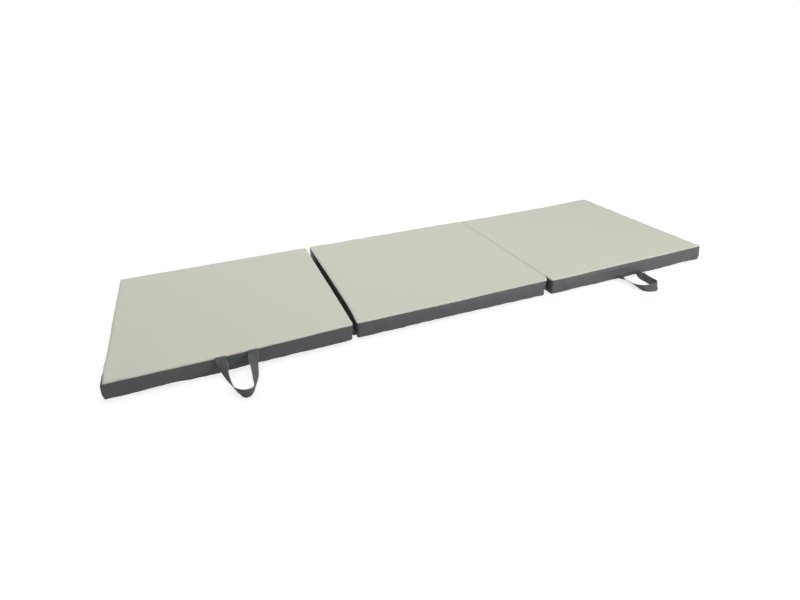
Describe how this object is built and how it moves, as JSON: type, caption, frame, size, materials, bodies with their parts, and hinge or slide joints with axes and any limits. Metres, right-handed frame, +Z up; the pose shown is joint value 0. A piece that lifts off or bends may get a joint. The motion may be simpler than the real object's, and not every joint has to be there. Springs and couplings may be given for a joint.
{
  "type": "folding gym mat",
  "caption": "Folding exercise mat of foam panels in sewn vinyl covers, joined by hinge strips to fold in a Z, with webbing carry handles and zipped covers.",
  "frame": {"origin": "on the floor under the centre of the middle panel", "axes": "+X along the open mat from the panel on the lower hinge to the panel on the upper hinge, +Y away from the handles, +Z up"},
  "size_m": [1.806, 0.7334, 0.05],
  "materials": {
    "sage_vinyl": "pale sage-grey coated vinyl with a fine grain, satin",
    "charcoal_vinyl": "dark grey coated vinyl, satin, slightly crumpled",
    "foam": "closed-cell foam, matte",
    "webbing": "flat-woven dark grey webbing, matte",
    "zip_tape": "black woven zip tape",
    "zip_coil": "black nylon, matte",
    "zip_metal": "dark lacquered die-cast metal"
  },
  "bodies": {
    "middle_panel": {"middle_foam_core": "foam", "middle_top_skin": "sage_vinyl", "middle_side_band": "charcoal_vinyl", "middle_bottom_skin": "charcoal_vinyl", "middle_zip_tape": "zip_tape", "middle_zip_coil": "zip_coil", "middle_zip_stops": "zip_metal", "lower_hinge_middle_leaf": "charcoal_vinyl", "upper_hinge_middle_leaf": "sage_vinyl"},
    "left_panel": {"left_foam_core": "foam", "left_top_skin": "sage_vinyl", "left_side_band": "charcoal_vinyl", "left_bottom_skin": "charcoal_vinyl", "left_zip_tape": "zip_tape", "left_zip_coil": "zip_coil", "left_zip_stops": "zip_metal", "lower_hinge_left_leaf": "charcoal_vinyl"},
    "right_panel": {"right_foam_core": "foam", "right_top_skin": "sage_vinyl", "right_side_band": "charcoal_vinyl", "right_bottom_skin": "charcoal_vinyl", "right_zip_tape": "zip_tape", "right_zip_coil": "zip_coil", "right_zip_stops": "zip_metal", "upper_hinge_right_leaf": "sage_vinyl"},
    "left_handle": {"left_handle": "webbing"},
    "right_handle": {"right_handle": "webbing"},
    "left_zip_slider": {"left_zip_slider": "zip_metal"},
    "left_zip_pull": {"left_zip_pull": "zip_coil"},
    "middle_zip_slider": {"middle_zip_slider": "zip_metal"},
    "middle_zip_pull": {"middle_zip_pull": "zip_coil"},
    "right_zip_slider": {"right_zip_slider": "zip_metal"},
    "right_zip_pull": {"right_zip_pull": "zip_coil"}
  },
  "joints": [
    {"name": "left_fold", "type": "hinge", "parent": "middle_panel", "child": "left_panel", "pos_m": [-0.303, 0, -0.0003], "axis": [0, -1, 0], "range_deg": [-14, 180]},
    {"name": "right_fold", "type": "hinge", "parent": "middle_panel", "child": "right_panel", "pos_m": [0.299, 0, 0.0503], "axis": [0, -1, 0], "range_deg": [-4, 180]},
    {"name": "left_handle_swing", "type": "hinge", "parent": "left_panel", "child": "left_handle", "pos_m": [-0.606, -0.2989, 0.044], "axis": [-1, 0, 0], "range_deg": [-12, 150]},
    {"name": "right_handle_swing", "type": "hinge", "parent": "right_panel", "child": "right_handle", "pos_m": [0.598, -0.2989, 0.0042], "axis": [-1, 0, 0], "range_deg": [-115, 22]},
    {"name": "left_zip_slide", "type": "slide", "parent": "left_panel", "child": "left_zip_slider", "axis": [-1, 0, 0], "range_m": [0, 0.485]},
    {"name": "left_zip_pull_flip", "type": "hinge", "parent": "left_zip_slider", "child": "left_zip_pull", "pos_m": [-0.3635, 0.3045, 0.025], "axis": [0, 0, -1], "range_deg": [0, 180]},
    {"name": "middle_zip_slide", "type": "slide", "parent": "middle_panel", "child": "middle_zip_slider", "axis": [-1, 0, 0], "range_m": [0, 0.485]},
    {"name": "middle_zip_pull_flip", "type": "hinge", "parent": "middle_zip_slider", "child": "middle_zip_pull", "pos_m": [0.2425, 0.3045, 0.025], "axis": [0, 0, -1], "range_deg": [0, 180]},
    {"name": "right_zip_slide", "type": "slide", "parent": "right_panel", "child": "right_zip_slider", "axis": [-1, 0, 0], "range_m": [0, 0.485]},
    {"name": "right_zip_pull_flip", "type": "hinge", "parent": "right_zip_slider", "child": "right_zip_pull", "pos_m": [0.8405, 0.3045, 0.025], "axis": [0, 0, -1], "range_deg": [0, 180]}
  ]
}
